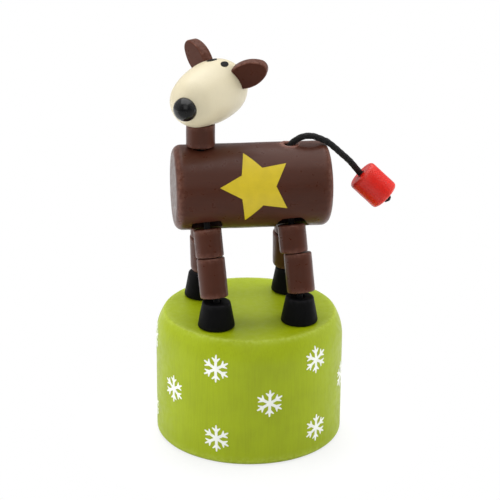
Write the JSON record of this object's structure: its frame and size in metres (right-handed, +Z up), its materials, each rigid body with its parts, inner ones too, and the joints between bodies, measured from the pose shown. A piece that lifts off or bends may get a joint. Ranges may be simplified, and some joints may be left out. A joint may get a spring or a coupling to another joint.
{
  "type": "push puppet",
  "caption": "Wooden push puppet: a beaded animal standing on a hollow drum, held up by sprung cords; pushing the button under the drum slackens the cords and it bows and sinks.",
  "frame": {"origin": "middle of the drum's foot, on the surface it stands on", "axes": "+Z up; the animal looks along -X; its own left side is -Y"},
  "size_m": [0.0639, 0.05, 0.1054],
  "materials": {
    "lime_paint": "satin paint on turned wood",
    "brown_paint": "satin paint on turned wood",
    "black_paint": "satin paint on turned wood",
    "cream_paint": "satin paint on turned wood",
    "red_paint": "gloss paint on turned wood",
    "bare_wood": "bare turned wood",
    "black_cord": "waxed round cord",
    "spring_steel": "bright drawn wire"
  },
  "bodies": {
    "base": {"base": "lime_paint", "hoof_front_left": "black_paint", "hoof_front_right": "black_paint", "hoof_hind_left": "black_paint", "hoof_hind_right": "black_paint"},
    "button": {"button": "bare_wood", "cord_knots": "black_cord", "spring": "spring_steel", "run_cord_front_left": "black_cord", "run_cord_front_right": "black_cord", "run_cord_hind_left": "black_cord", "run_cord_hind_right": "black_cord"},
    "shin_front_left": {"shin_front_left": "brown_paint", "shin_cord_front_left": "black_cord"},
    "shin_front_right": {"shin_front_right": "brown_paint", "shin_cord_front_right": "black_cord"},
    "shin_hind_left": {"shin_hind_left": "brown_paint", "shin_cord_hind_left": "black_cord"},
    "shin_hind_right": {"shin_hind_right": "brown_paint", "shin_cord_hind_right": "black_cord"},
    "thigh_front_left": {"thigh_front_left": "brown_paint", "thigh_cord_front_left": "black_cord"},
    "thigh_front_right": {"thigh_front_right": "brown_paint", "thigh_cord_front_right": "black_cord"},
    "thigh_hind_left": {"thigh_hind_left": "brown_paint", "thigh_cord_hind_left": "black_cord"},
    "thigh_hind_right": {"thigh_hind_right": "brown_paint", "thigh_cord_hind_right": "black_cord"},
    "barrel": {"barrel": "brown_paint", "body_cord_left": "black_cord", "body_cord_right": "black_cord", "body_cord_hind": "black_cord", "tail_cord": "black_cord", "tail_bead": "red_paint", "tail_knot": "black_cord"},
    "neck": {"neck": "brown_paint"},
    "head_swivel": {"neck_cords": "black_cord"},
    "head": {"head": "cream_paint", "head_cords": "black_cord", "head_peg": "bare_wood", "nose": "black_paint", "ear_left": "brown_paint", "ear_right": "brown_paint"}
  },
  "joints": [
    {"name": "ankle_front_left", "type": "hinge", "parent": "base", "child": "shin_front_left", "pos_m": [-0.01549, -0.0113, 0.04245], "axis": [0, -1, 0], "range_deg": [0, 56]},
    {"name": "ankle_front_right", "type": "hinge", "parent": "base", "child": "shin_front_right", "pos_m": [-0.01549, 0.0113, 0.04245], "axis": [0, -1, 0], "range_deg": [0, 56]},
    {"name": "ankle_hind_left", "type": "hinge", "parent": "base", "child": "shin_hind_left", "pos_m": [0.00661, -0.0113, 0.04245], "axis": [0, -1, 0], "range_deg": [0, 56]},
    {"name": "ankle_hind_right", "type": "hinge", "parent": "base", "child": "shin_hind_right", "pos_m": [0.00861, 0.0113, 0.04245], "axis": [0, -1, 0], "range_deg": [0, 56]},
    {"name": "knee_front_left", "type": "hinge", "parent": "shin_front_left", "child": "thigh_front_left", "pos_m": [-0.01612, -0.00868, 0.0527], "axis": [0, -1, 0], "range_deg": [0, 8]},
    {"name": "knee_front_right", "type": "hinge", "parent": "shin_front_right", "child": "thigh_front_right", "pos_m": [-0.01612, 0.00868, 0.0527], "axis": [0, -1, 0], "range_deg": [0, 8]},
    {"name": "knee_hind_left", "type": "hinge", "parent": "shin_hind_left", "child": "thigh_hind_left", "pos_m": [0.00598, -0.00868, 0.0527], "axis": [0, -1, 0], "range_deg": [0, 8]},
    {"name": "knee_hind_right", "type": "hinge", "parent": "shin_hind_right", "child": "thigh_hind_right", "pos_m": [0.00798, 0.00868, 0.0527], "axis": [0, -1, 0], "range_deg": [0, 8]},
    {"name": "hip", "type": "hinge", "parent": "thigh_front_left", "child": "barrel", "pos_m": [-0.00802, -0.00707, 0.05951], "axis": [0, 1, 0], "range_deg": [0, 64]},
    {"name": "neck_flop", "type": "hinge", "parent": "barrel", "child": "neck", "pos_m": [-0.01695, 0, 0.08037], "axis": [0, -1, 0], "range_deg": [0, 28]},
    {"name": "head_turn", "type": "hinge", "parent": "neck", "child": "head_swivel", "pos_m": [-0.0132, 0, 0.08637], "axis": [0, 0, 1], "range_deg": [-139, 41]},
    {"name": "head_nod", "type": "hinge", "parent": "head_swivel", "child": "head", "pos_m": [-0.01566, -0.00283, 0.08637], "axis": [0.7547, -0.6561, 0], "range_deg": [0, 14]},
    {"name": "button_push", "type": "slide", "parent": "base", "child": "button", "axis": [0, 0, 1], "range_m": [0, 0.0065], "stiffness_N_per_m": 600, "springref_m": -0.006, "deforming": ["spring"]}
  ],
  "couplings": [
    {"joint": "ankle_front_left", "follows": "button_push", "rad_per_m": 150.36},
    {"joint": "ankle_front_right", "follows": "button_push", "rad_per_m": 150.36},
    {"joint": "ankle_hind_left", "follows": "button_push", "rad_per_m": 150.36},
    {"joint": "ankle_hind_right", "follows": "button_push", "rad_per_m": 150.36},
    {"joint": "knee_front_left", "follows": "button_push", "rad_per_m": 21.48},
    {"joint": "knee_front_right", "follows": "button_push", "rad_per_m": 21.48},
    {"joint": "knee_hind_left", "follows": "button_push", "rad_per_m": 21.48},
    {"joint": "knee_hind_right", "follows": "button_push", "rad_per_m": 21.48},
    {"joint": "hip", "follows": "button_push", "rad_per_m": 171.84},
    {"joint": "neck_flop", "follows": "button_push", "rad_per_m": 75.18},
    {"joint": "head_nod", "follows": "button_push", "rad_per_m": 37.59}
  ]
}
